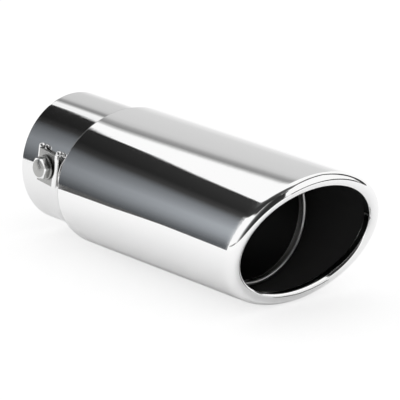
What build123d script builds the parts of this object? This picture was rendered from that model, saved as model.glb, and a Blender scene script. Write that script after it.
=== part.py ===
from build123d import *
import os
from math import atan, cos, radians, sin, tan

# Exhaust tip: an oval, slant-cut outer shell with a rolled lip, carried on a round inlet tube.
# The tube slides over the car's tail pipe, and two bolts in welded brackets clamp it there.
# Millimetres. +X runs along the tube from the inlet to the mouth, +Z is up, the origin is the inlet's centre.

# Inlet tube
pipe_diameter = 63.5        # tail pipe that the inlet takes
pipe_clearance = 0.05       # room around that pipe, on the radius
tube_wall = 1.0
sleeve_length = 42.2        # stretch of the tube that shows behind the shell
hem_length = 4.0            # the tube's front edge is folded inwards by this much
hem_nose = 0.7              # bevel of the folded edge

# Outer shell
shell_length = 132.6        # from the shell's back edge to the root of the lip, along the oval's own axis
shell_wall = 0.8
gap_beside_tube = 9.9       # from the tube to the inside of the shell at its back, at either side
gap_over_tube = 0.3
gap_under_tube = 2.5
shell_widening = 3.5        # the shell gains this much at either side by the lip
slant_angle = 18.2          # lean of the mouth: the top reaches further than the bottom
back_flat = 1.0             # width of the flat along the top and bottom at the back; it widens with the shell
tube_setback = 32.2         # from the root of the lip back to the tube's front edge

# Rolled lip
lip_width = 7.0             # across the rolled edge
roll_rise = 6.0             # the roll's outer half runs this far forward from its root
roll_fall = 2.3             # its inner half bends back by up to this much
lip_roll = 165.0            # turn of the roll, in degrees
lip_return = 4.0            # straight edge behind the roll
roll_bands = 11             # narrow bands that the roll is made of

# Rear plate
plate_thickness = 1.2
plate_inset = 1.5           # from the shell's back edge
weld_gap = 0.05             # fit between pieces that are welded together

# Clamps
clamp_setback = 20.9        # from the shell's back edge to the bolt
clamp_angle = 177.0         # where the left bracket touches the tube, from +Y; the bolt points the same way
clamp_rise = 3.5            # from that touch up to the bolt
clamp_skew = -6.0           # the brackets sit a little turned
bolt_turn = 7.0             # turn of the bolt's head
bolt_diameter = 6.0
bolt_length = 4.3
bolt_tip_chamfer = 0.5
bolt_tip_clear = 0.2        # the tip stays this far out of the bore
thread_clearance = 0.05     # on the radius, in the bracket's tapped hole
tube_hole_clearance = 0.5   # on the radius, where the bolt passes the tube
head_across_flats = 10.0
head_height = 2.8
head_chamfer = 0.4
washer_thickness = 1.0
washer_rim = 0.6            # the washer stands out this far past the head's corners
washer_clearance = 0.2      # on the radius, around the bolt
bracket_sheet = 1.5
bracket_width = 16.0        # along the tube
bracket_length = 17.2       # around the tube
bracket_round = 1.2         # rounding of the two long edges

# Sizes that follow
bore_radius = pipe_diameter / 2 + pipe_clearance
tube_radius = bore_radius + tube_wall
half_width = tube_radius + gap_beside_tube + shell_wall
lip_half_width = half_width + shell_widening
half_height = tube_radius + (gap_over_tube + gap_under_tube) / 2 + shell_wall
oval_z = (gap_over_tube - gap_under_tube) / 2
lip_x = sleeve_length + shell_length
tube_length = lip_x - tube_setback
clamp_x = sleeve_length - clamp_setback
bolt_radius = bolt_diameter / 2
head_corner_radius = head_across_flats / 2 / cos(radians(30))
washer_radius = head_corner_radius + washer_rim
bracket_seat = tube_radius + weld_gap
bolt_tip = bore_radius + bolt_tip_clear
head_seat = bolt_tip + bolt_length
clamp_sides = {"left": 1, "right": -1}


def leaning_oval(share, forward, width, height):
    """Oval across the shell, square at its back edge (share 0), slanted as the mouth at the lip (share 1).

    Two half ellipses with a flat between them, so that the wall stays a plain bent sheet as it widens."""
    lean = atan(share * tan(radians(slant_angle)))
    x = sleeve_length + share * shell_length + forward
    plane = Plane(origin=(x, 0, oval_z), x_dir=(0, 1, 0), z_dir=(cos(lean), 0, -sin(lean)))
    flat = back_flat / 2 + share * shell_widening
    tall = height / cos(lean)
    right = EllipticalCenterArc((flat, 0), width - flat, tall, -90, arc_size=180)
    left = EllipticalCenterArc((-flat, 0), width - flat, tall, 90, arc_size=180)
    top = Line((flat, tall), (-flat, tall))
    bottom = Line((-flat, -tall), (flat, -tall))
    return plane * make_face([right, top, left, bottom])


def wall_oval(share, inset):
    """Oval of the wall, which widens evenly, on the sheet's outer face (inset 0) or inner face (one wall)."""
    return leaning_oval(share, 0, half_width + share * shell_widening - inset, half_height - inset)


def roll_oval(turn, inset):
    """Oval at one turn of the roll, on either face of the sheet."""
    across = (lip_width / 2 - inset) * cos(turn) - lip_width / 2
    depth = roll_rise if cos(turn) > 0 else roll_fall
    forward = roll_rise - inset - (depth - inset) * (1 - sin(turn))
    return leaning_oval(1, forward, lip_half_width + across, half_height + across)


def shell_skin(inset):
    """Solid up to one face of the sheet, the roll included. Ruled bands keep the facets few."""
    rolls = [roll_oval(radians(lip_roll * band / roll_bands), inset) for band in range(roll_bands + 1)]
    return loft([wall_oval(0, inset)] + rolls, ruled=True)


def outer_shell():
    """Oval sheet tube, wider at the front, whose front edge rolls inwards and ends in a straight return."""
    inward = lip_width / 2 * (1 - cos(radians(lip_roll)))
    mouth_width = lip_half_width - inward
    mouth_height = half_height - inward
    edge_forward = roll_rise - roll_fall * (1 - sin(radians(lip_roll))) - lip_return
    edge = leaning_oval(1, edge_forward, mouth_width + shell_wall, mouth_height + shell_wall)
    inside = shell_skin(shell_wall) - extrude(edge, lip_return + 2 * roll_rise, dir=(1, 0, 0))
    hole = leaning_oval(1, -shell_length, mouth_width, mouth_height)
    return shell_skin(0) - inside - extrude(hole, 2 * shell_length, dir=(1, 0, 0))


def clamp_place(side):
    """Plane where a bracket touches the tube: Z out along the bolt, Y up, X along the tube.

    The right clamp is the left one turned about."""
    angle = radians(clamp_angle)
    out = (0, side * cos(angle), sin(angle))
    return Plane(origin=(clamp_x, 0, 0), x_dir=(side, 0, 0), z_dir=out)


def inlet_tube():
    """Round sheet tube with a folded front edge and a hole for each clamp bolt."""
    across = Plane.YZ
    tube = extrude(across * Circle(tube_radius), tube_length)
    tube -= extrude(across * Circle(bore_radius), tube_length - hem_length)
    tube -= extrude(across * Circle(bore_radius - tube_wall), tube_length)
    tube = chamfer(tube.edges().filter_by(GeomType.CIRCLE).group_by(Axis.X)[-1], hem_nose)
    hole = Pos(0, clamp_rise) * extrude(Circle(bolt_radius + tube_hole_clearance), bracket_seat + tube_wall)
    for side in clamp_sides.values():
        tube -= clamp_place(side) * hole
    return tube


def rear_plate():
    """Flat oval plate that closes the shell behind and holds the tube."""
    plane = Plane(origin=(sleeve_length + plate_inset, 0, 0), x_dir=(0, 1, 0), z_dir=(1, 0, 0))
    room = shell_wall + weld_gap
    oval = Pos(0, oval_z) * Ellipse(half_width - room, half_height - room)
    return extrude(plane * (oval - Circle(tube_radius + weld_gap)), plate_thickness)


def clamp_bracket():
    """Plate welded against the tube, tapped for the bolt, with rounded long edges."""
    rounding = min(bracket_round, 0.9 * bracket_sheet)
    section = Pos(0, bracket_sheet / 2) * Rectangle(bracket_width, bracket_sheet)
    section = fillet(section.vertices().group_by(Axis.Y)[-1], rounding)
    plate = extrude(Plane.XZ * section, bracket_length / 2, both=True)
    plate -= extrude(Circle(bolt_radius + thread_clearance), bracket_sheet)
    return Pos(0, clamp_rise, bracket_seat) * Rot(0, 0, clamp_skew) * plate


def clamp_washer():
    """Plain washer under the bolt's head."""
    ring = Circle(washer_radius) - Circle(bolt_radius + washer_clearance)
    return Pos(0, clamp_rise, head_seat - washer_thickness) * extrude(ring, washer_thickness)


def clamp_bolt():
    """Low hexagon bolt whose tip stops just short of the bore."""
    crown = Cylinder(head_corner_radius, head_height, align=(Align.CENTER, Align.CENTER, Align.MIN))
    crown = chamfer(crown.edges().group_by(Axis.Z)[-1], head_chamfer, 2 * head_chamfer)
    head = extrude(RegularPolygon(head_corner_radius, 6, rotation=bolt_turn), head_height) & crown
    shank = Cylinder(bolt_radius, bolt_length, align=(Align.CENTER, Align.CENTER, Align.MIN))
    shank = chamfer(shank.edges().group_by(Axis.Z)[0], bolt_tip_chamfer)
    return Pos(0, clamp_rise, head_seat) * head + Pos(0, clamp_rise, bolt_tip) * shank


os.makedirs("parts", exist_ok=True)
export_step(outer_shell(), "parts/outer_shell.step")
export_step(inlet_tube(), "parts/inlet_tube.step")
export_step(rear_plate(), "parts/rear_plate.step")
for name, side in clamp_sides.items():
    place = clamp_place(side)
    export_step(place * clamp_bracket(), f"parts/clamp_bracket_{name}.step")
    export_step(place * clamp_washer(), f"parts/clamp_washer_{name}.step")
    export_step(place * clamp_bolt(), f"parts/clamp_bolt_{name}.step")
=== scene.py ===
# %% [markdown]
# Exhaust tip: an oval, slant-cut shell of mirror-polished steel with a rolled lip, on a round tube that
# bolts clamp to a tail pipe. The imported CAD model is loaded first, and it stays the fixed frame: each
# piece made below stands where a CAD solid stands, or is welded to one, and moves with that solid's body.

# %% Load the frame
from math import cos, pi, radians, sin, tan

import bpy
import numpy as np
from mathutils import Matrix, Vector


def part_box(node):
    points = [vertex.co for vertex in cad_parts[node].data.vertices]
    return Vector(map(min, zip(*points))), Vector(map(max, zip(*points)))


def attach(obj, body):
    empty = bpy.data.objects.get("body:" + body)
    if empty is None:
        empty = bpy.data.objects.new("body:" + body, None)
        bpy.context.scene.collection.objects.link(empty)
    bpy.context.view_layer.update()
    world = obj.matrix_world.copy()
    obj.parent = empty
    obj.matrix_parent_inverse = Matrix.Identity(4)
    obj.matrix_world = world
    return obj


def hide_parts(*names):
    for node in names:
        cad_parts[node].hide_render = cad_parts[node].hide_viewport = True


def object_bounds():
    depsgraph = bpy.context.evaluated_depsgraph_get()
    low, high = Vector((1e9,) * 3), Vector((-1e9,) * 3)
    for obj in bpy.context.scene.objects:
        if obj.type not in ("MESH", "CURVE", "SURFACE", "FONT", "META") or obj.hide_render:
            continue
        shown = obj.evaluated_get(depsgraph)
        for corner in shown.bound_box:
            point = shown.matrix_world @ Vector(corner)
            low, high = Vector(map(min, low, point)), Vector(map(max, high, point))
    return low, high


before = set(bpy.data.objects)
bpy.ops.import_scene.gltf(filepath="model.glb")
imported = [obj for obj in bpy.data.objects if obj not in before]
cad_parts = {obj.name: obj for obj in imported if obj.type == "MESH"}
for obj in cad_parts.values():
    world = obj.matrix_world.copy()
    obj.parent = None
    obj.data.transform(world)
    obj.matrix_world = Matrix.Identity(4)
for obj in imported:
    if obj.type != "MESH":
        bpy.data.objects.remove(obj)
cad_low, cad_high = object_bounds()

# %% [markdown]
# Every surface here is a grid: rows run along a profile, columns run around. Blender's own tubes could be
# bent and cut to shape, but points that are worked out keep every size exact. The first helpers number
# the four corners of each cell. All the pieces are closed skins, so the sign of their volume tells
# whether the faces point outwards.

# %% Grids and skins
mm = 0.001


def cells(rows, columns, wrap_rows=False, wrap_columns=True):
    """Corner numbers of each cell: (i, j), (i, j+1), (i+1, j+1), (i+1, j), counted around where it wraps."""
    i = np.arange(rows if wrap_rows else rows - 1)[:, None]
    j = np.arange(columns if wrap_columns else columns - 1)[None, :]
    i_next, j_next = (i + 1) % rows, (j + 1) % columns
    corners = [i * columns + j, i * columns + j_next, i_next * columns + j_next, i_next * columns + j]
    return np.stack(corners, axis=-1).reshape(-1, 4)


def skin(points, wrap_rows=False, caps=False):
    """One grid of shape (rows, columns, 3), its columns wrapped, as flat points, cells and caps.

    Caps close the first and last row with one flat face each. Faces of a closed skin are turned outwards."""
    rows, columns = points.shape[:2]
    points = points.reshape(-1, 3)
    quads = cells(rows, columns, wrap_rows)
    ends = [np.arange(columns)[::-1], np.arange((rows - 1) * columns, rows * columns)] if caps else []
    if volume(points, quads, ends) < 0:
        quads, ends = quads[:, ::-1], [end[::-1] for end in ends]
    return points, quads, ends


def volume(points, quads, ends):
    """Sum over triangles of a . (b x c) / 6: positive when the faces point outwards."""
    fans = [np.stack([np.full(len(end) - 2, end[0]), end[1:-1], end[2:]], axis=1) for end in ends]
    triangles = np.vstack([quads[:, [0, 1, 2]], quads[:, [0, 2, 3]], *fans])
    a, b, c = (points[triangles[:, k]] for k in range(3))
    return float(np.einsum("ij,ij->i", a, np.cross(b, c)).sum() / 6)


# %% [markdown]
# The next helpers put skins into a mesh and let the finished piece ride on its CAD body. Faces are shaded
# smooth, and an edge where they meet at a clear angle stays sharp.

# %% Meshes and pieces
sharp_angle = radians(38)


def mesh_of(name, skins):
    """One mesh from several skins: all the cells of all the skins first, then the caps."""
    starts = np.cumsum([0] + [len(points) for points, _, _ in skins])
    quads = np.vstack([q + start for (_, q, _), start in zip(skins, starts)])
    caps = [(end + start).tolist() for (_, _, ends), start in zip(skins, starts) for end in ends]
    mesh = bpy.data.meshes.new(name)
    mesh.from_pydata(np.vstack([points for points, _, _ in skins]).tolist(), [], quads.tolist() + caps)
    return mesh


def piece(name, body, node, skins, materials, face_materials=None):
    """Make one object from closed skins, at the origin, riding on a CAD body in place of a CAD node.

    A weld stands for no node and has None there. Face materials are numbers in the list of materials."""
    mesh = mesh_of(name, skins)
    for material in materials:
        mesh.materials.append(material)
    if face_materials is not None:
        mesh.polygons.foreach_set("material_index", np.asarray(face_materials, np.int32))
    mesh.polygons.foreach_set("use_smooth", np.ones(len(mesh.polygons), bool))
    mesh.set_sharp_from_angle(angle=sharp_angle)
    made = bpy.data.objects.new(name, mesh)
    bpy.context.scene.collection.objects.link(made)
    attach(made, body)
    if node:
        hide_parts(node)
    print(name, "faces", len(mesh.polygons), "stands for", node)
    return made


# %% [markdown]
# Finishes are written as sums, which are easier to read than lists of nodes and links. A Wire holds one
# socket of a node tree: adding or multiplying Wires adds a Math node, and any other node comes from its
# one method, which sets the node's options before its sockets.

# %% Wires for shader maths
class Wire:
    """A socket in a node tree that can be used in a sum."""

    def __init__(self, tree, socket=None):
        self.tree = tree
        self.socket = socket

    def node(self, kind, settings=None, inputs=None, output=0):
        """Add a node of this kind: options first (stops fill a ramp), then socket values or Wires."""
        made = self.tree.nodes.new(kind)
        for name, value in (settings or {}).items():
            if name == "stops":
                fill_ramp(made.color_ramp, value)
            else:
                setattr(made, name, value)
        for name, value in (inputs or {}).items():
            if isinstance(value, Wire):
                self.tree.links.new(value.socket, made.inputs[name])
            else:
                made.inputs[name].default_value = value
        return Wire(self.tree, made.outputs[output] if len(made.outputs) else None)

    def maths(self, operation, first, second):
        """One Math node on two values, each a number or a Wire."""
        return self.node("ShaderNodeMath", {"operation": operation}, {0: first, 1: second})

    def __add__(self, other):
        return self.maths("ADD", self, other)

    def __sub__(self, other):
        return self.maths("SUBTRACT", self, other)

    def __rsub__(self, other):
        return self.maths("SUBTRACT", other, self)

    def __mul__(self, other):
        return self.maths("MULTIPLY", self, other)

    __radd__ = __add__
    __rmul__ = __mul__


def fill_ramp(ramp, stops):
    """Give a colour ramp these stops, each a place from 0 to 1 and a grey value or a colour."""
    while len(ramp.elements) < len(stops):
        ramp.elements.new(1.0)
    for element, (place, colour) in zip(ramp.elements, stops):
        element.position = place
        element.color = (*colour, 1.0) if isinstance(colour, tuple) else (colour, colour, colour, 1.0)


def finish_of(name):
    """A material with an empty node tree, and a Wire to build that tree with."""
    material = bpy.data.materials.new(name)
    material.use_nodes = True
    material.node_tree.nodes.clear()
    return material, Wire(material.node_tree)


# %% [markdown]
# Mirror-polished stainless sheet is a bare metal with almost no blur. What tells it from glass is the
# polishing: very fine lines that run around the tube, where the wheel went. A picture of scratches could
# give them, but it would show a seam. Noise that is squeezed along the tube and drawn out around it has
# none, and it feeds both the blur and a faint bump.

# %% Polished sheet
noise_middle = 0.5


def polished_sheet(name, colour, blur, line_depth):
    """Bare polished metal with fine lines around the X axis."""
    cloud_blur, line_blur, line_height = 0.05, 0.04, 0.02 * mm
    material, wire = finish_of(name)
    place = wire.node("ShaderNodeTexCoord", output="Object")
    drawn_out = wire.node("ShaderNodeMapping", inputs={"Vector": place, "Scale": (1.0, 0.05, 0.05)})
    lines = wire.node("ShaderNodeTexNoise", inputs={"Vector": drawn_out, "Scale": 2600.0, "Detail": 3.0})
    clouds = wire.node("ShaderNodeTexNoise", inputs={"Vector": place, "Scale": 45.0, "Detail": 2.0})
    rough = blur + cloud_blur * (clouds - noise_middle) + line_blur * (lines - noise_middle)
    bump = wire.node("ShaderNodeBump", inputs={
        "Strength": line_depth, "Distance": line_height, "Height": lines})
    metal = wire.node("ShaderNodeBsdfPrincipled", inputs={
        "Base Color": (*colour, 1.0), "Metallic": 1.0, "Roughness": rough, "Normal": bump})
    wire.node("ShaderNodeOutputMaterial", inputs={"Surface": metal})
    print("finish", name)
    return material


polished_shell = polished_sheet("polished_shell", (0.96, 0.96, 0.96), blur=0.05, line_depth=0.25)
polished_tube = polished_sheet("polished_tube", (0.90, 0.90, 0.90), blur=0.07, line_depth=0.25)

# %% [markdown]
# The inside is painted near-black, which stands in for the shade deep in the tip, where little of the light
# that enters the mouth gets. Plain black would look like a hole. A dark colour with a soft, uneven sheen
# keeps the faint rings that a tube shows inside.

# %% Painted shade inside
def painted_shade_steel(name, shade):
    """Near-black satin skin, a painted shade, with a little unevenness."""
    least_blur, patch_blur = 0.34, 0.16
    material, wire = finish_of(name)
    place = wire.node("ShaderNodeTexCoord", output="Object")
    patches = wire.node("ShaderNodeTexNoise", inputs={"Vector": place, "Scale": 120.0, "Detail": 4.0})
    rough = least_blur + patch_blur * patches
    coat = wire.node("ShaderNodeBsdfPrincipled", inputs={
        "Base Color": (shade, shade, shade, 1.0), "Roughness": rough, "Specular IOR Level": 0.2})
    wire.node("ShaderNodeOutputMaterial", inputs={"Surface": coat})
    print("finish", name)
    return material


# The bore and the shell's inside are near-black: painted shade.
bore_painted_shade = painted_shade_steel("bore_painted_shade", shade=0.006)
shell_inside_painted_shade = painted_shade_steel("shell_inside_painted_shade", shade=0.04)

# %% [markdown]
# The small steel pieces have plainer finishes: sheet as it left the rolling mill for the plate, the
# tube's hem and the brackets, a dark face where sheet was cut, and zinc with its fine grain for the
# bolts and washers. The cut face is duller, and its dark colour is also painted shade along the sheet's
# edges. They differ only in colour, blur and grain, so one function serves them all. The brackets'
# rounded edges, the weld tacks and the bolts' crowns get the polished finish in a paler colour, which is
# real polish with a painted highlight.

# %% Plain and zinc-coated steel
def plain_steel(name, colour, blur, grain_size, grain_depth):
    """Dull bare metal with an even grain that shows in its colour, blur and surface."""
    darkest, grain_blur, grain_height = 0.75, 0.2, 0.1 * mm
    dark_colour = [darkest * channel for channel in colour]
    material, wire = finish_of(name)
    place = wire.node("ShaderNodeTexCoord", output="Object")
    grain = wire.node("ShaderNodeTexNoise", inputs={
        "Vector": place, "Scale": 1.0 / grain_size, "Detail": 4.0})
    # A Mix node keeps its two colours in sockets 6 and 7, and gives the mixed colour in output 2.
    tint = wire.node("ShaderNodeMix", {"data_type": "RGBA"}, {
        "Factor": grain, 6: (*dark_colour, 1.0), 7: (*colour, 1.0)}, output=2)
    rough = blur + grain_blur * (grain - noise_middle)
    bump = wire.node("ShaderNodeBump", inputs={
        "Strength": grain_depth, "Distance": grain_height, "Height": grain})
    metal = wire.node("ShaderNodeBsdfPrincipled", inputs={
        "Base Color": tint, "Metallic": 1.0, "Roughness": rough, "Normal": bump})
    wire.node("ShaderNodeOutputMaterial", inputs={"Surface": metal})
    print("finish", name)
    return material


plate_steel = plain_steel("plate_steel", (0.70, 0.70, 0.69),
                          blur=0.38, grain_size=1.5 * mm, grain_depth=0.1)
hem_steel = plain_steel("hem_steel", (0.80, 0.80, 0.79),
                        blur=0.42, grain_size=1.2 * mm, grain_depth=0.03)
# Darker than any sheet here: a duller cut face, whose dark colour also paints the shade along the edges.
cut_face_and_shade = plain_steel("cut_face_and_shade", (0.22, 0.22, 0.22),
                       blur=0.5, grain_size=1.2 * mm, grain_depth=0.05)
bracket_steel = plain_steel("bracket_steel", (0.55, 0.55, 0.54),
                            blur=0.34, grain_size=0.6 * mm, grain_depth=0.5)
# Paler and more polished than the bracket's face, for rounded edges, weld tacks and bolt crowns: real polish
# with a painted highlight in its colour.
edge_polish_and_highlight = polished_sheet("edge_polish_and_highlight", (0.95, 0.95, 0.95), blur=0.16, line_depth=0.1)
zinc = plain_steel("zinc", (0.52, 0.52, 0.51), blur=0.19, grain_size=0.5 * mm, grain_depth=0.6)

# %% [markdown]
# The shell is one sheet, and its section is a closed line: the wall from the back edge forward, the roll
# over the front edge, a short return, and the same way back one sheet thickness inside. A Solidify
# modifier could thicken a single face, but it leaves the sheet's edges square, so both faces are drawn.
# The overall sizes are read from the CAD solid's box, and the finer ones are the same as in the CAD.

# %% The sheet's section
shell_low, shell_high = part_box("outer_shell")
sleeve_length = shell_low.x
half_height = (shell_high.z - shell_low.z) / 2
oval_z = (shell_high.z + shell_low.z) / 2
shell_widening = 3.5 * mm
half_width = (shell_high.y - shell_low.y) / 2 - shell_widening
shell_wall = 0.8 * mm
lip_width = 7.0 * mm
roll_rise = 6.0 * mm
roll_fall = 2.3 * mm
lip_roll = radians(165)
lip_return = 4.0 * mm
edge_cells = 8              # around the half turn of the sheet's rounded edges
inward_rows = 2             # last rows of the mouth's edge, which face into the shell


def section_rows(across, forward, share):
    """Rows of (across, forward, share), each given as a line of values or as one value for all rows."""
    return np.stack(np.broadcast_arrays(across, forward, share), axis=1).astype(float)


def roll_rows(turn, inset):
    """The rolled edge at these turns: across is half the lip's width times (cos turn - 1), forward is the
    rise times sin turn, and past the front it is the rise less the fall times (1 - sin turn). An inset of
    one wall gives the sheet's inner face."""
    across = (lip_width / 2 - inset) * np.cos(turn) - lip_width / 2
    depth = np.where(np.cos(turn) > 0, roll_rise, roll_fall)
    forward = roll_rise - inset - (depth - inset) * (1 - np.sin(turn))
    return section_rows(across, forward, 1.0)


def shell_section():
    """Rows of (across, forward, share) once around the sheet's section, and how many of them are polished.

    Across is how far the oval has grown, forward runs along X from the back edge or from the leaning front
    plane, and the share says how far a row belongs to that front plane."""
    edge = shell_wall / 2
    half_turn = np.linspace(0, pi, edge_cells + 1)
    first_bend = np.linspace(0, 0.3, 7)
    turn = np.concatenate([first_bend, np.linspace(0.36, lip_roll, 45)])
    wall = np.array([0.0015, 0.01, 0.2, 0.4, 0.6, 0.8, 0.97])   # close to both ends, to keep them crisp
    back_edge = section_rows(-edge * (1 + np.cos(half_turn)), edge * (1 - np.sin(half_turn)), 0.0)
    outer_wall = section_rows(0.0, edge * (1 - wall), wall)
    outer_roll = roll_rows(turn, 0.0)
    mouth_across, mouth_start, _ = outer_roll[-1]
    mouth_end = mouth_start - lip_return + edge
    mouth = section_rows(mouth_across, np.linspace(mouth_start, mouth_end, 6)[1:], 1.0)
    tip = half_turn[1:]
    mouth_edge = section_rows(mouth_across + edge * (1 - np.cos(tip)), mouth_end - edge * np.sin(tip), 1.0)
    inner_roll = roll_rows(turn[::-1], shell_wall)
    inner_wall = section_rows(-shell_wall, edge * (1 - wall[::-1]), wall[::-1])
    outside = [back_edge, outer_wall, outer_roll, mouth, mouth_edge]
    polished_count = sum(len(rows) for rows in outside) - inward_rows
    return np.vstack(outside + [inner_roll, inner_wall]), polished_count


section, polished_rows = shell_section()
print("section of", len(section), "rows,", polished_rows, "of them outside")

# %% [markdown]
# That line is carried around an ellipse that widens towards the front. Blender's Spin makes only circles,
# so the oval is a formula. The CAD solid keeps a narrow flat along its top and bottom, and here the curve
# runs on through it. The front also leans: a higher point lies further forward.

# %% Outer shell
shell_length = 132.6 * mm
slant_angle = radians(18.2)
lean = tan(slant_angle)


def around_oval(section, columns=360):
    """y = (half width + widening by the share + across) cos t, z = (half height + across) sin t, and x runs
    from the square back edge to the leaning front plane by the row's share."""
    t = np.linspace(0, 2 * pi, columns, endpoint=False)[None, :]
    across, forward, share = (section[:, k:k + 1] for k in range(3))
    y = (half_width + share * shell_widening + across) * np.cos(t)
    height = (half_height + across) * np.sin(t)
    x = sleeve_length + forward + share * (shell_length + lean * height)
    return np.stack(np.broadcast_arrays(x, y, oval_z + height), axis=-1)


shell_grid = around_oval(section)
row = np.arange(len(section))
# Rows inside the sheet take the near-black painted shade; the back edge's rows take the dark cut face.
painted_shade_rows, cut = row >= polished_rows, row < edge_cells
shell_materials = np.repeat(1 * painted_shade_rows + 2 * cut, shell_grid.shape[1])
piece("shell", "tip", "outer_shell", [skin(shell_grid, wrap_rows=True)],
      [polished_shell, shell_inside_painted_shade, cut_face_and_shade], shell_materials)

# %% [markdown]
# The inlet tube is turned around the X axis. Its front edge is folded inwards, so it ends in a round nose
# two sheets thick, which shows in the mouth as a bright ring. A Screw modifier could turn the section
# too, but on a grid each row has its own finish: polished outside, bare on the fold, and near-black in
# the bore, a painted shade.
# The two bolt holes are cut further down.

# %% Inlet tube
_, tube_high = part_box("inlet_tube")
tube_radius = tube_high.y
tube_length = tube_high.x
tube_wall = 1.0 * mm
hem_length = 4.0 * mm
bore_radius = tube_radius - tube_wall


def turned(rows, columns=288):
    """Rows of (along, radius) turned around the X axis: y = radius cos t, z = radius sin t."""
    t = np.linspace(0, 2 * pi, columns, endpoint=False)[None, :]
    x, radius = rows[:, :1], rows[:, 1:]
    return np.stack(np.broadcast_arrays(x, radius * np.cos(t), radius * np.sin(t)), axis=-1)


def straight(start, end, count, radius):
    """Rows of (along, radius) from start to end at one radius."""
    return np.stack([np.linspace(start, end, count), np.full(count, radius)], 1)


def tube_section():
    """Rows of (along, radius) once around the section, and the rows where the hem and the bore start.

    Outside from back to front, the round nose of the fold, the fold's inside, then the bore back. The back
    edge and the nose are half circles, along by the sine and radius by the cosine of the turn."""
    half_turn = np.linspace(0, pi, 13)
    edge = tube_wall / 2
    past_edge, past_nose, past_fold = 1 * mm, 2 * mm, 6 * mm
    fold_end, fold_soft, fold_foot = tube_length - hem_length, 0.2 * mm, 0.1 * mm
    back_edge = np.stack([edge - edge * np.sin(half_turn), bore_radius + edge - edge * np.cos(half_turn)], 1)
    outside = straight(past_edge, tube_length - past_nose, 7, tube_radius)
    nose = np.stack([tube_length - tube_wall + tube_wall * np.sin(half_turn),
                     bore_radius + tube_wall * np.cos(half_turn)], 1)
    fold = np.array([[fold_end + fold_soft, bore_radius - tube_wall],
                     [fold_end, bore_radius - tube_wall + fold_soft],
                     [fold_end, bore_radius - fold_foot],
                     [fold_end - fold_foot, bore_radius]])
    bore = straight(tube_length - past_fold, past_edge, 6, bore_radius)
    hem_start = len(back_edge) + len(outside) + 1
    return np.vstack([back_edge, outside, nose, fold, bore]), hem_start, hem_start + len(nose)


tube_rows, hem_start, bore_start = tube_section()
tube_grid = turned(tube_rows)
row = np.arange(len(tube_rows))
# Polished outside, the bare hem, and the near-black painted shade in the bore.
tube_materials = np.repeat(2 * (row >= hem_start) - (row >= bore_start), tube_grid.shape[1])
inlet_tube = piece("tube", "tip", "inlet_tube", [skin(tube_grid, wrap_rows=True)],
                   [polished_tube, bore_painted_shade, hem_steel], tube_materials)

# %% [markdown]
# A flat plate closes the gap between the tube and the shell behind, and carries the one on the other. A
# flat face with a hole would do for the sheet alone. Drawn along rays from the round hole to the oval
# edge, it takes a low weld bead along each of them as well.

# %% Rear plate
plate_low, plate_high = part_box("rear_plate")
weld_gap = 0.05 * mm


def plate_grid(columns=288):
    """Each ray from the hole to the oval: points at a share s of the way, back face out and front face home.

    A bead is a half sine over the first and last fifth of the ray, as high as the gap allows."""
    fifth, rise_in_gap, highest_bead = 0.2, 0.1, 0.9 * mm
    t = np.linspace(0, 2 * pi, columns, endpoint=False)[None, :]
    back_face = np.concatenate([np.linspace(0, fifth, 7), [0.5], np.linspace(1 - fifth, 1, 7)])
    front_face = [1.0, 0.5, 0.0]
    share = np.concatenate([back_face, front_face])[:, None]
    hole = tube_radius + weld_gap
    hole_y, hole_z = hole * np.cos(t), hole * np.sin(t)
    edge_y = plate_high.y * np.cos(t)
    edge_z = oval_z + (plate_high.z - oval_z) * np.sin(t)
    y = hole_y + share * (edge_y - hole_y)
    z = hole_z + share * (edge_z - hole_z)
    gap = np.hypot(edge_y - hole_y, edge_z - hole_z)
    into_bead = np.clip(np.minimum(share, 1 - share) / fifth, 0, 1)
    bead = np.minimum(rise_in_gap * gap, highest_bead) * np.sin(pi * into_bead)
    back_row = (np.arange(len(share)) < len(back_face))[:, None]
    x = np.where(back_row, plate_low.x - bead, plate_high.x)
    return np.stack(np.broadcast_arrays(x, y, z), axis=-1)


piece("back_plate", "tip", "rear_plate", [skin(plate_grid(), wrap_rows=True)], [plate_steel])

# %% [markdown]
# Each clamp is a plate welded against the tube, with a low hexagon bolt and a washer. Drawn in place,
# every point would need the bolt's tilt. So they are drawn once in a frame of their own (x along the
# tube, y up, z out along the bolt) and then stood up beside the tube. The right clamp is the left one
# turned about.

# %% Clamp frame
clamp_setback = 20.9 * mm
clamp_x = sleeve_length - clamp_setback
clamp_angle = radians(177)
clamp_rise = 3.5 * mm
clamp_sides = {"left": 1, "right": -1}
bolt_tip_clear = 0.2 * mm
bolt_length = 4.3 * mm
bolt_tip = bore_radius + bolt_tip_clear
head_seat = bolt_tip + bolt_length


def stood_up(points, side):
    """Clamp frame to part frame. The bolt stands parallel to the line from the tube's axis to the place
    where the plate touches the tube, and passes above that line by the rise."""
    out = np.array([0, side * cos(clamp_angle), sin(clamp_angle)])
    up = np.array([0, side * sin(clamp_angle), -cos(clamp_angle)])
    along = np.array([side, 0, 0])
    x, y, z = points[..., :1], points[..., 1:2], points[..., 2:]
    return np.array([clamp_x, 0, 0]) + x * along + (y + clamp_rise) * up + z * out


def spun(rows, columns=96):
    """Rows of (height, radius) turned around the bolt's axis."""
    t = np.linspace(0, 2 * pi, columns, endpoint=False)[None, :]
    z, radius = rows[:, :1], rows[:, 1:]
    return np.stack(np.broadcast_arrays(radius * np.cos(t), radius * np.sin(t), z), axis=-1)


print("the bolts' heads sit", round(head_seat / mm, 2), "mm from the tube's axis")

# %% [markdown]
# The plate's section is a flat bar with its two outer edges rounded. A Bevel modifier makes corners that
# are as wide as they are deep. These are wider, so the section is drawn and carried along its length. The
# plate sits a little turned, and its ends are eased by a slightly smaller section. Two small weld tacks
# hold its upper corners, where the round tube falls away from it.

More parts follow.
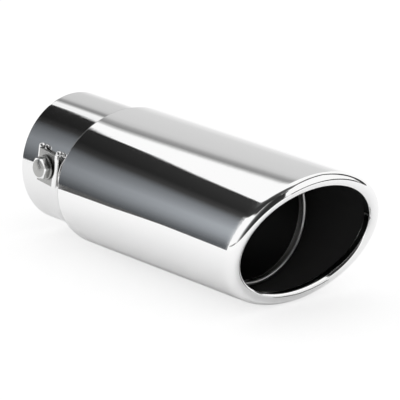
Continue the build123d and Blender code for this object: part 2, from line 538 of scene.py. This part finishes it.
# %% Brackets
bracket_sheet = 1.5 * mm
bracket_width = 16.0 * mm
bracket_length = 17.2 * mm
round_across, round_deep = 2.4 * mm, 1.3 * mm
bracket_skew = radians(-6)
bracket_seat = tube_radius + weld_gap
tack_radius, tack_height = 1.5 * mm, 2.0 * mm
tack_inset, tack_past_end, tack_sunk = 1.3 * mm, 0.3 * mm, 0.6 * mm


def bracket_grid(ease=0.2 * mm):
    """Closed line around the bar's section, carried along y. A rounded edge is a quarter of an ellipse."""
    half, quarter = bracket_width / 2, np.linspace(0, pi / 2, 9)
    corner = np.stack([half - round_across * (1 - np.cos(quarter)),
                       bracket_sheet - round_deep * (1 - np.sin(quarter))], axis=1)
    foot = np.array([[half - ease, 0], [half, ease]])
    right = np.vstack([foot, corner])
    line = np.vstack([right, right[::-1] * (-1, 1)])
    run = bracket_length / 2
    y = np.array([-run, -run + ease, -run / 2, 0, run / 2, run - ease, run])[:, None]
    eased = np.abs(y) > run - ease / 2
    x = line[None, :, 0] * np.where(eased, 1 - ease / half, 1)
    middle = bracket_sheet / 2
    z = bracket_seat + middle + (line[None, :, 1] - middle) * np.where(eased, 1 - ease / middle, 1)
    return skewed(x, y, z)


def skewed(x, y, z):
    """Turned about the bolt's axis by the bracket's skew."""
    x, y, z = np.broadcast_arrays(x, y, z)
    return np.stack([x * cos(bracket_skew) - y * sin(bracket_skew),
                     x * sin(bracket_skew) + y * cos(bracket_skew), z], axis=-1)


def tack_grid(end):
    """Ellipsoid at the plate's upper corner at this end: its radii times cos h cos t, cos h sin t and sin h.

    The angle h stops just short of the poles, and caps close the skin there."""
    near_pole = 1.5
    t = np.linspace(0, 2 * pi, 24, endpoint=False)[None, :]
    h = np.linspace(-near_pole, near_pole, 13)[:, None]
    x = end * (bracket_width / 2 - tack_inset) + tack_radius * np.cos(h) * np.cos(t)
    y = bracket_length / 2 + tack_past_end + tack_radius * np.cos(h) * np.sin(t)
    return skewed(x, y, bracket_seat - tack_sunk + tack_height * np.sin(h))


bar = bracket_grid()
side_points = bar.shape[1] // 2
# The rounded edges take the paler polished finish, a painted highlight.
rounded = np.isin(np.arange(bar.shape[1]) % side_points, np.arange(1, side_points - 1))
# The bar's two ends take the dark cut face, partly painted shade.
cut_ends = [2, 2]
bar_materials = np.concatenate([np.tile(rounded, len(bar) - 1), cut_ends])
brackets = {}
for name, side in clamp_sides.items():
    brackets[name] = piece(f"bracket_{name}", "tip", f"clamp_bracket_{name}",
                           [skin(stood_up(bar, side), caps=True)],
                           [bracket_steel, edge_polish_and_highlight, cut_face_and_shade], bar_materials)
    # The tacks take the same paler polished finish, a painted highlight.
    piece(f"tacks_{name}", "tip", None,
          [skin(stood_up(tack_grid(end), side), caps=True) for end in (-1, 1)], [edge_polish_and_highlight])

# %% [markdown]
# The bolt holes go through the plates and the tube's wall. Woven into the grids, they would spoil the
# even rows. So a cylinder for each side is taken away with a Boolean, which is put into the mesh at once,
# and no modifier or cutter is left over.

# %% Bolt holes
bolt_radius = 3.0 * mm
thread_clear, tube_hole_clear = 0.05 * mm, 0.5 * mm
drill_start = bore_radius - 3 * mm


def cut_holes(target, radius, sides):
    """Take a cylinder of this radius along each clamp's bolt out of the target's mesh."""
    for side in sides:
        rows = np.array([[drill_start, radius], [head_seat, radius]])
        drill = skin(stood_up(spun(rows, columns=48), side), caps=True)
        cutter = bpy.data.objects.new("cutter", mesh_of("cutter", [drill]))
        bpy.context.scene.collection.objects.link(cutter)
        cut = target.modifiers.new("hole", "BOOLEAN")
        cut.operation, cut.solver, cut.object = "DIFFERENCE", "EXACT", cutter
        bpy.context.view_layer.update()
        done = bpy.data.meshes.new_from_object(target.evaluated_get(bpy.context.evaluated_depsgraph_get()))
        target.modifiers.clear()
        target.data = done
        bpy.data.objects.remove(cutter)
    print(target.name, "after the holes:", len(target.data.polygons), "faces")


cut_holes(inlet_tube, bolt_radius + tube_hole_clear, clamp_sides.values())
for name, side in clamp_sides.items():
    cut_holes(brackets[name], bolt_radius + thread_clear, [side])

# %% [markdown]
# A washer is a ring with softened edges. The bolt's head is a hexagon whose corners are turned off at a
# slant. A thread made with bump alone would leave the shank's outline smooth, so the shank carries a real
# one: the radius falls and rises once for each turn of the helix.

# %% Washers and bolts
head_flats = 10.0 * mm
head_height = 2.8 * mm
head_turn = radians(7)
flat_to_corner = radians(30)
washer_rim = 0.6 * mm
washer_radius = head_flats / 2 / cos(flat_to_corner) + washer_rim
washer_thickness = 1.0 * mm
washer_clear = 0.2 * mm


def washer_rows(soft=0.2 * mm):
    """Closed section of a flat ring with bevelled edges, as (height, radius)."""
    low, high = head_seat - washer_thickness, head_seat
    hole = bolt_radius + washer_clear
    return np.array([[low, hole + soft], [low, washer_radius - soft], [low + soft, washer_radius],
                     [high - soft, washer_radius], [high, washer_radius - soft], [high, hole + soft],
                     [high - soft, hole], [low + soft, hole]])


def head_grid(columns=144):
    """Radius at angle t: half the flats over cos(t's distance from the nearest flat), but never outside the
    cone that slants the corners off, and drawn in a little at the foot."""
    bevel_angle, bevel_inset = radians(30), 0.5 * mm
    foot_height, foot_inset = 0.1 * mm, 0.15 * mm
    t = np.linspace(0, 2 * pi, columns, endpoint=False)[None, :]
    from_flat = np.mod(t - head_turn, pi / 3) - pi / 6
    hexagon = head_flats / 2 / np.cos(from_flat)
    from_top = np.array([2.8, 2.65, 1.1, 0.9, 0.75, 0.6, 0.5, 0.4, 0.3, 0.2, 0.1, 0.03, 0.0])[:, None] * mm
    height = head_height - from_top
    cone = head_flats / 2 + from_top / tan(bevel_angle) - bevel_inset
    drawn_in = np.where(height < foot_height, foot_inset, 0.0)
    radius = np.minimum(hexagon, cone) - drawn_in
    return np.stack(np.broadcast_arrays(radius * np.cos(t), radius * np.sin(t), head_seat + height), axis=-1)


def thread_grid(columns=72, pitch=1.0 * mm, depth=0.55 * mm, tip_taper=0.5 * mm):
    """Radius = bolt radius less the depth times a triangle wave of (height / pitch - turn), and tapered at
    the tip."""
    t = np.linspace(0, 2 * pi, columns, endpoint=False)[None, :]
    height = np.linspace(0, head_seat - bolt_tip, 97)[:, None]
    wave = np.abs(2 * np.mod(height / pitch - t / (2 * pi), 1) - 1)
    taper = np.clip(1 - height / tip_taper, 0, 1) * tip_taper
    radius = np.minimum(bolt_radius - depth * wave, bolt_radius - taper)
    return np.stack(np.broadcast_arrays(radius * np.cos(t), radius * np.sin(t), bolt_tip + height), axis=-1)


head, thread = head_grid(), thread_grid()
first_rim_row, cap_count = 5, 4
# The bevelled crown of each head takes the paler polished finish, a painted highlight on the zinc.
crown_painted_highlight = np.repeat(np.arange(len(head) - 1) >= first_rim_row, head.shape[1])
plain_rest = np.zeros((len(thread) - 1) * thread.shape[1] + cap_count, bool)
bolt_materials = np.concatenate([crown_painted_highlight, plain_rest])
for name, side in clamp_sides.items():
    piece(f"washer_{name}", f"bolt_{name}", f"clamp_washer_{name}",
          [skin(stood_up(spun(washer_rows()), side), wrap_rows=True)], [zinc])
    piece(f"bolt_{name}", f"bolt_{name}", f"clamp_bolt_{name}",
          [skin(stood_up(head, side), caps=True), skin(stood_up(thread, side), caps=True)],
          [zinc, edge_polish_and_highlight], bolt_materials)

# %% [markdown]
# The object lies on a white table under even light. More light would make the table white, but the metal
# too bright. So to the camera the table is pale paper, and light of its own, seen by the camera alone,
# brings it up to white while the shadow under the shell stays. Mirrors see it as plain white paper. The
# table ends a little way in front of the shell, as polished metal shows.

# %% Floor and even light
scene = bpy.context.scene
scene.view_settings.view_transform = "Standard"
floor_gap = 0.05 * mm
floor_z = cad_low.z - floor_gap
floor_colour, floor_in_mirror, floor_to_camera = 0.35, 0.98, 1.05
floor_outline = [(-1.6, -0.54), (0.6, -0.12), (1.2, -0.12), (1.2, 1.4), (-1.6, 1.4)]


def white_floor():
    """Paper of a paler colour in mirrors and glass, with some light of its own for the camera."""
    material, wire = finish_of("white_floor")
    camera = wire.node("ShaderNodeLightPath", output="Is Camera Ray")
    mirror = wire.node("ShaderNodeLightPath", output="Is Glossy Ray")
    glass = wire.node("ShaderNodeLightPath", output="Is Transmission Ray")
    paper_colour = floor_colour + (floor_in_mirror - floor_colour) * (mirror + glass)
    paper = wire.node("ShaderNodeBsdfDiffuse", inputs={"Color": paper_colour})
    own_light = (floor_to_camera - floor_colour) * camera
    glow = wire.node("ShaderNodeEmission", inputs={"Color": own_light, "Strength": 1.0})
    both = wire.node("ShaderNodeAddShader", inputs={0: paper, 1: glow})
    wire.node("ShaderNodeOutputMaterial", inputs={"Surface": both})
    return material


def stage_mesh(name, points, faces, material):
    """One object of the stage around the part, which is not of the part itself."""
    mesh = bpy.data.meshes.new(name)
    mesh.from_pydata(np.asarray(points).tolist(), [], faces)
    mesh.materials.append(material)
    made = bpy.data.objects.new(name, mesh)
    scene.collection.objects.link(made)
    return made


floor_corners = [(x, y, floor_z) for x, y in floor_outline]
stage_mesh("floor", floor_corners, [list(range(len(floor_corners)))], white_floor())

world = bpy.data.worlds.new("even_light")
scene.world = world
world.use_nodes = True
world.node_tree.nodes.clear()
sky = Wire(world.node_tree)
even = sky.node("ShaderNodeBackground", inputs={"Color": (1.0, 1.0, 1.0, 1.0), "Strength": 1.0})
sky.node("ShaderNodeOutputWorld", inputs={"Surface": even})
print("floor at", round(floor_z, 4), "m")

# %% [markdown]
# In an all-white room polished metal looks like white plastic. A photographer sets dark and grey cards
# around it, and the metal draws their edges as bands. Real cards would also take light from the object,
# so each card here is a sheet that only mirrors see. Its shade runs from its one edge to the other, and
# it may grow lighter along its length and carry faint streaks.

# %% Sheets that only mirrors see
def mirror_only(name, points, stops, lengthwise=(1.0, 1.0), streaks=0.0):
    """A glowing sheet over a grid of points, shaded across its columns by stops of (share, light).

    Its light is scaled by a value that runs between two numbers along its rows, and by noise in streaks."""
    streaks_along, streaks_across = 150.0, 2.0
    rows, columns = points.shape[:2]
    along, across = np.meshgrid(np.linspace(0, 1, rows), np.linspace(0, 1, columns), indexing="ij")
    material, wire = finish_of(name)
    shade = wire.node("ShaderNodeAttribute", {"attribute_name": "across"}, output="Fac")
    length = wire.node("ShaderNodeAttribute", {"attribute_name": "along"}, output="Fac")
    ramp = wire.node("ShaderNodeValToRGB", {"stops": stops}, {"Fac": shade})
    place = wire.node("ShaderNodeCombineXYZ", inputs={
        "X": streaks_along * length, "Y": streaks_across * shade})
    noise = wire.node("ShaderNodeTexNoise", inputs={"Vector": place, "Scale": 1.0, "Detail": 3.0})
    first, last = lengthwise
    gain = first + (last - first) * length + streaks * (noise - noise_middle)
    light = wire.node("ShaderNodeVectorMath", {"operation": "SCALE"}, {0: ramp, "Scale": gain})
    glow = wire.node("ShaderNodeEmission", inputs={"Color": light, "Strength": 1.0})
    wire.node("ShaderNodeOutputMaterial", inputs={"Surface": glow})
    faces = cells(rows, columns, wrap_columns=False).tolist()
    made = stage_mesh(name, points.reshape(-1, 3), faces, material)
    for label, values in (("across", across), ("along", along)):
        layer = made.data.attributes.new(label, "FLOAT", "POINT")
        layer.data.foreach_set("value", values.astype(np.float32).ravel())
    made.visible_camera = made.visible_diffuse = made.visible_shadow = False
    made.visible_transmission = made.visible_volume_scatter = False
    print(name, "is in the mirrors")
    return made


# %% [markdown]
# The wall sees two long cards, one towards the camera and one behind. Flat cards would do, but would have
# to be tilted with care. A piece of a wide cylinder around the tube's axis faces the wall all along.
# Angles are counted from the side that faces the camera (-Y) up over the top (+Z).

# %% Cards along the wall
def card(name, low, high, stops, radius=0.7, steps=49, **shading):
    """Cylinder patch between two edges, each a list of (x, angle in degrees); straight in between."""
    x = np.linspace(low[0][0], low[-1][0], steps)
    edges = [np.interp(x, *np.array(edge, float).T) for edge in (low, high)]
    angle = np.radians(np.linspace(*edges, steps, axis=1))
    points = np.stack([np.broadcast_to(x[:, None], angle.shape), -radius * np.cos(angle),
                       radius * np.sin(angle)], axis=-1)
    return mirror_only(name, points, stops, **shading)


def cool(grey):
    """A grey with a little blue in it."""
    return 0.94 * grey, grey, 1.07 * grey


card("side_card",
     [(-1.0, -45), (-0.73, -45), (-0.60, -35), (-0.53, -35)],
     [(-1.0, 102), (-0.75, 102), (-0.72, 96), (-0.67, 94), (-0.62, 89), (-0.53, 83)],
     [(0.0, cool(0.08)), (0.26, cool(0.09)), (0.32, cool(0.15)), (0.39, cool(0.235)), (0.46, cool(0.295)),
      (0.53, cool(0.31)), (0.60, cool(0.24)), (0.68, cool(0.16)), (0.75, 0.042), (0.82, 0.018),
      (0.95, 0.025)], lengthwise=(0.2, 1.45), streaks=0.5)
card("back_card",
     [(-1.0, 112), (-0.75, 112), (-0.71, 110), (-0.60, 115), (-0.50, 121)],
     [(-1.0, 196), (-0.50, 196)],
     [(0.0, 0.80), (0.06, 0.26), (0.11, 0.34), (0.17, 0.58), (0.25, 0.64), (0.6, 0.68), (0.82, 0.88),
      (0.95, 0.98)])

# %% [markdown]
# Two dark strips lie on the table itself. One bends the table's edge inwards, as the wall's back half
# shows it. The other is the line under the lip, where hardly any light gets between lip and table. Paint
# on the table would show to the camera as well, so they are thin sheets just over it.

# %% Strips on the table
strip_lift = 0.5 * mm


def strip(name, near, far, shade, steps=5):
    """Flat patch just over the floor between two edges, each a list of (x, y); straight in between."""
    flat = np.linspace(np.array(near), np.array(far), steps, axis=1)
    height = np.full(flat.shape[:2], floor_z + strip_lift)
    return mirror_only(name, np.dstack([flat, height]), [(0.0, shade), (1.0, shade)])


strip("edge_strip",
      [(-0.14, -0.26), (-0.085, -0.18), (-0.10, -0.15)],
      [(-0.15, -0.31), (-0.21, -0.31), (-0.29, -0.30)], shade=0.10)
strip("lip_strip",
      [(0.183, 0.0), (0.178, 0.01), (0.184, 0.03)],
      [(0.197, 0.02), (0.184, 0.012), (0.19, 0.03)], shade=0.10)

# %% [markdown]
# The rolled lip looks in every direction at once, so it shows more of the room than the wall does: a
# large dark board in front, the dark ceiling beside it, and on the far side a dark arch with a strip of
# shade on the paper under it. Towards the camera it shows the table's edge as a thin line. All but the
# strip are patches of a dome around the mouth, where hardly more than their direction counts. Below the
# horizon they lie on the table.

# %% Boards around the mouth
dome_middle = np.array([shell_high.x - roll_rise, 0.0, shell_high.z])
dome_radius = 2.2
least_fall = 1e-6


def board(name, edges, stops, steps=41):
    """Dome patch over a net of directions (x, y, z): straight between those given, then set to length 1."""
    net = np.array(edges, float)
    share = np.linspace(0, 1, steps)
    marks = [np.linspace(0, 1, count) for count in net.shape[:2]]
    weights = [np.stack([np.interp(share, mark, row) for row in np.eye(len(mark))], axis=1) for mark in marks]
    direction = np.einsum("ae,lp,epk->lak", *weights, net)
    direction /= np.linalg.norm(direction, axis=-1, keepdims=True)
    down = np.maximum(-direction[..., 2:], least_fall)
    reach = np.minimum(dome_radius, (dome_middle[2] - floor_z - strip_lift) / down)
    return mirror_only(name, dome_middle + reach * direction, stops)


board("front_board", [
    [(-0.1, -1.0, -0.05), (0.0, -0.95, 0.2), (0.05, -0.85, 0.55), (0.0, -0.65, 0.75), (-0.05, -0.3, 0.95)],
    [(0.6, -0.8, -0.05), (0.6, -0.75, 0.2), (0.5, -0.6, 0.6), (0.3, -0.4, 0.85), (0.05, -0.15, 1.0)],
    [(0.95, -0.2, -0.1), (0.95, -0.15, 0.15), (0.75, -0.2, 0.6), (0.4, -0.15, 0.9), (0.1, 0.0, 1.0)],
    [(0.9, 0.4, -0.2), (0.95, 0.2, 0.1), (0.8, 0.05, 0.6), (0.45, 0.0, 0.9), (0.1, 0.1, 1.0)]],
      [(0.0, 1.0), (0.10, 0.35), (0.22, 0.07), (0.5, 0.028), (0.97, 0.035), (1.0, 0.4)])
board("ceiling_board", [
    [(-0.8, -0.3, 0.5), (-0.55, -0.5, 0.65), (-0.4, -0.55, 0.75), (-0.15, -0.6, 0.75), (0.1, -0.65, 0.75)],
    [(-0.75, -0.05, 0.65), (-0.6, -0.05, 0.8), (-0.45, 0.1, 0.9), (-0.25, 0.35, 0.9), (0.05, 0.2, 1.0)]],
      [(0.0, 0.6), (0.08, 0.05), (0.5, 0.035), (0.75, 0.09), (0.93, 0.13), (1.0, 0.7)])
board("arch_line", [
    [(-0.05, 0.2, 1.0), (-0.35, 0.65, 0.65), (0.0, 0.9, 0.5), (0.4, 0.9, 0.0), (0.45, 0.75, -0.45)],
    [(-0.25, 0.25, 0.95), (-0.5, 0.65, 0.55), (-0.4, 0.85, 0.45), (-0.15, 0.95, 0.3), (0.1, 1.0, 0.0)]],
      [(0.0, 1.0), (0.07, 0.3), (0.17, 0.03), (0.9, 0.02), (0.97, 0.3), (1.0, 0.95)])
strip("paper_strip",
      [(0.245, 0.11), (0.28, 0.11), (0.34, 0.12), (0.33, 0.065)],
      [(0.31, 0.25), (0.90, 0.70), (1.15, 0.80), (1.10, 0.33)], shade=0.03)
board("table_edge_line", [
    [(0.15, -1.0, 0.04), (-0.1, -1.0, 0.03), (-0.4, -0.9, 0.0), (-0.6, -0.8, -0.02)],
    [(0.15, -1.0, -0.08), (-0.1, -1.0, -0.08), (-0.4, -0.9, -0.08), (-0.6, -0.8, -0.06)]],
      [(0.0, 0.9), (0.35, 0.10), (0.65, 0.10), (1.0, 0.9)])

# %% [markdown]
# The camera stands well back with a long lens, so that the far end hardly shrinks. A near one would make
# the mouth look too large. It is a little above the table and looks at the middle of the tip from the
# side of the mouth.

# %% Camera
azimuth, elevation = radians(50.18), radians(17.23)
distance = 2.647
focal_length = 483.2
farthest_seen = 20.0
aim = Vector((0.09184, 0.00692, -0.00316))
back = Vector((sin(azimuth) * cos(elevation), -cos(azimuth) * cos(elevation), sin(elevation)))
lens = bpy.data.cameras.new("camera")
lens.lens = focal_length
lens.clip_end = farthest_seen
camera = bpy.data.objects.new("camera", lens)
scene.collection.objects.link(camera)
camera.location = aim + distance * back
camera.rotation_mode = "QUATERNION"
camera.rotation_quaternion = (-back).to_track_quat("-Z", "Y")
scene.camera = camera
print("camera at", [round(place, 3) for place in camera.location], "m")
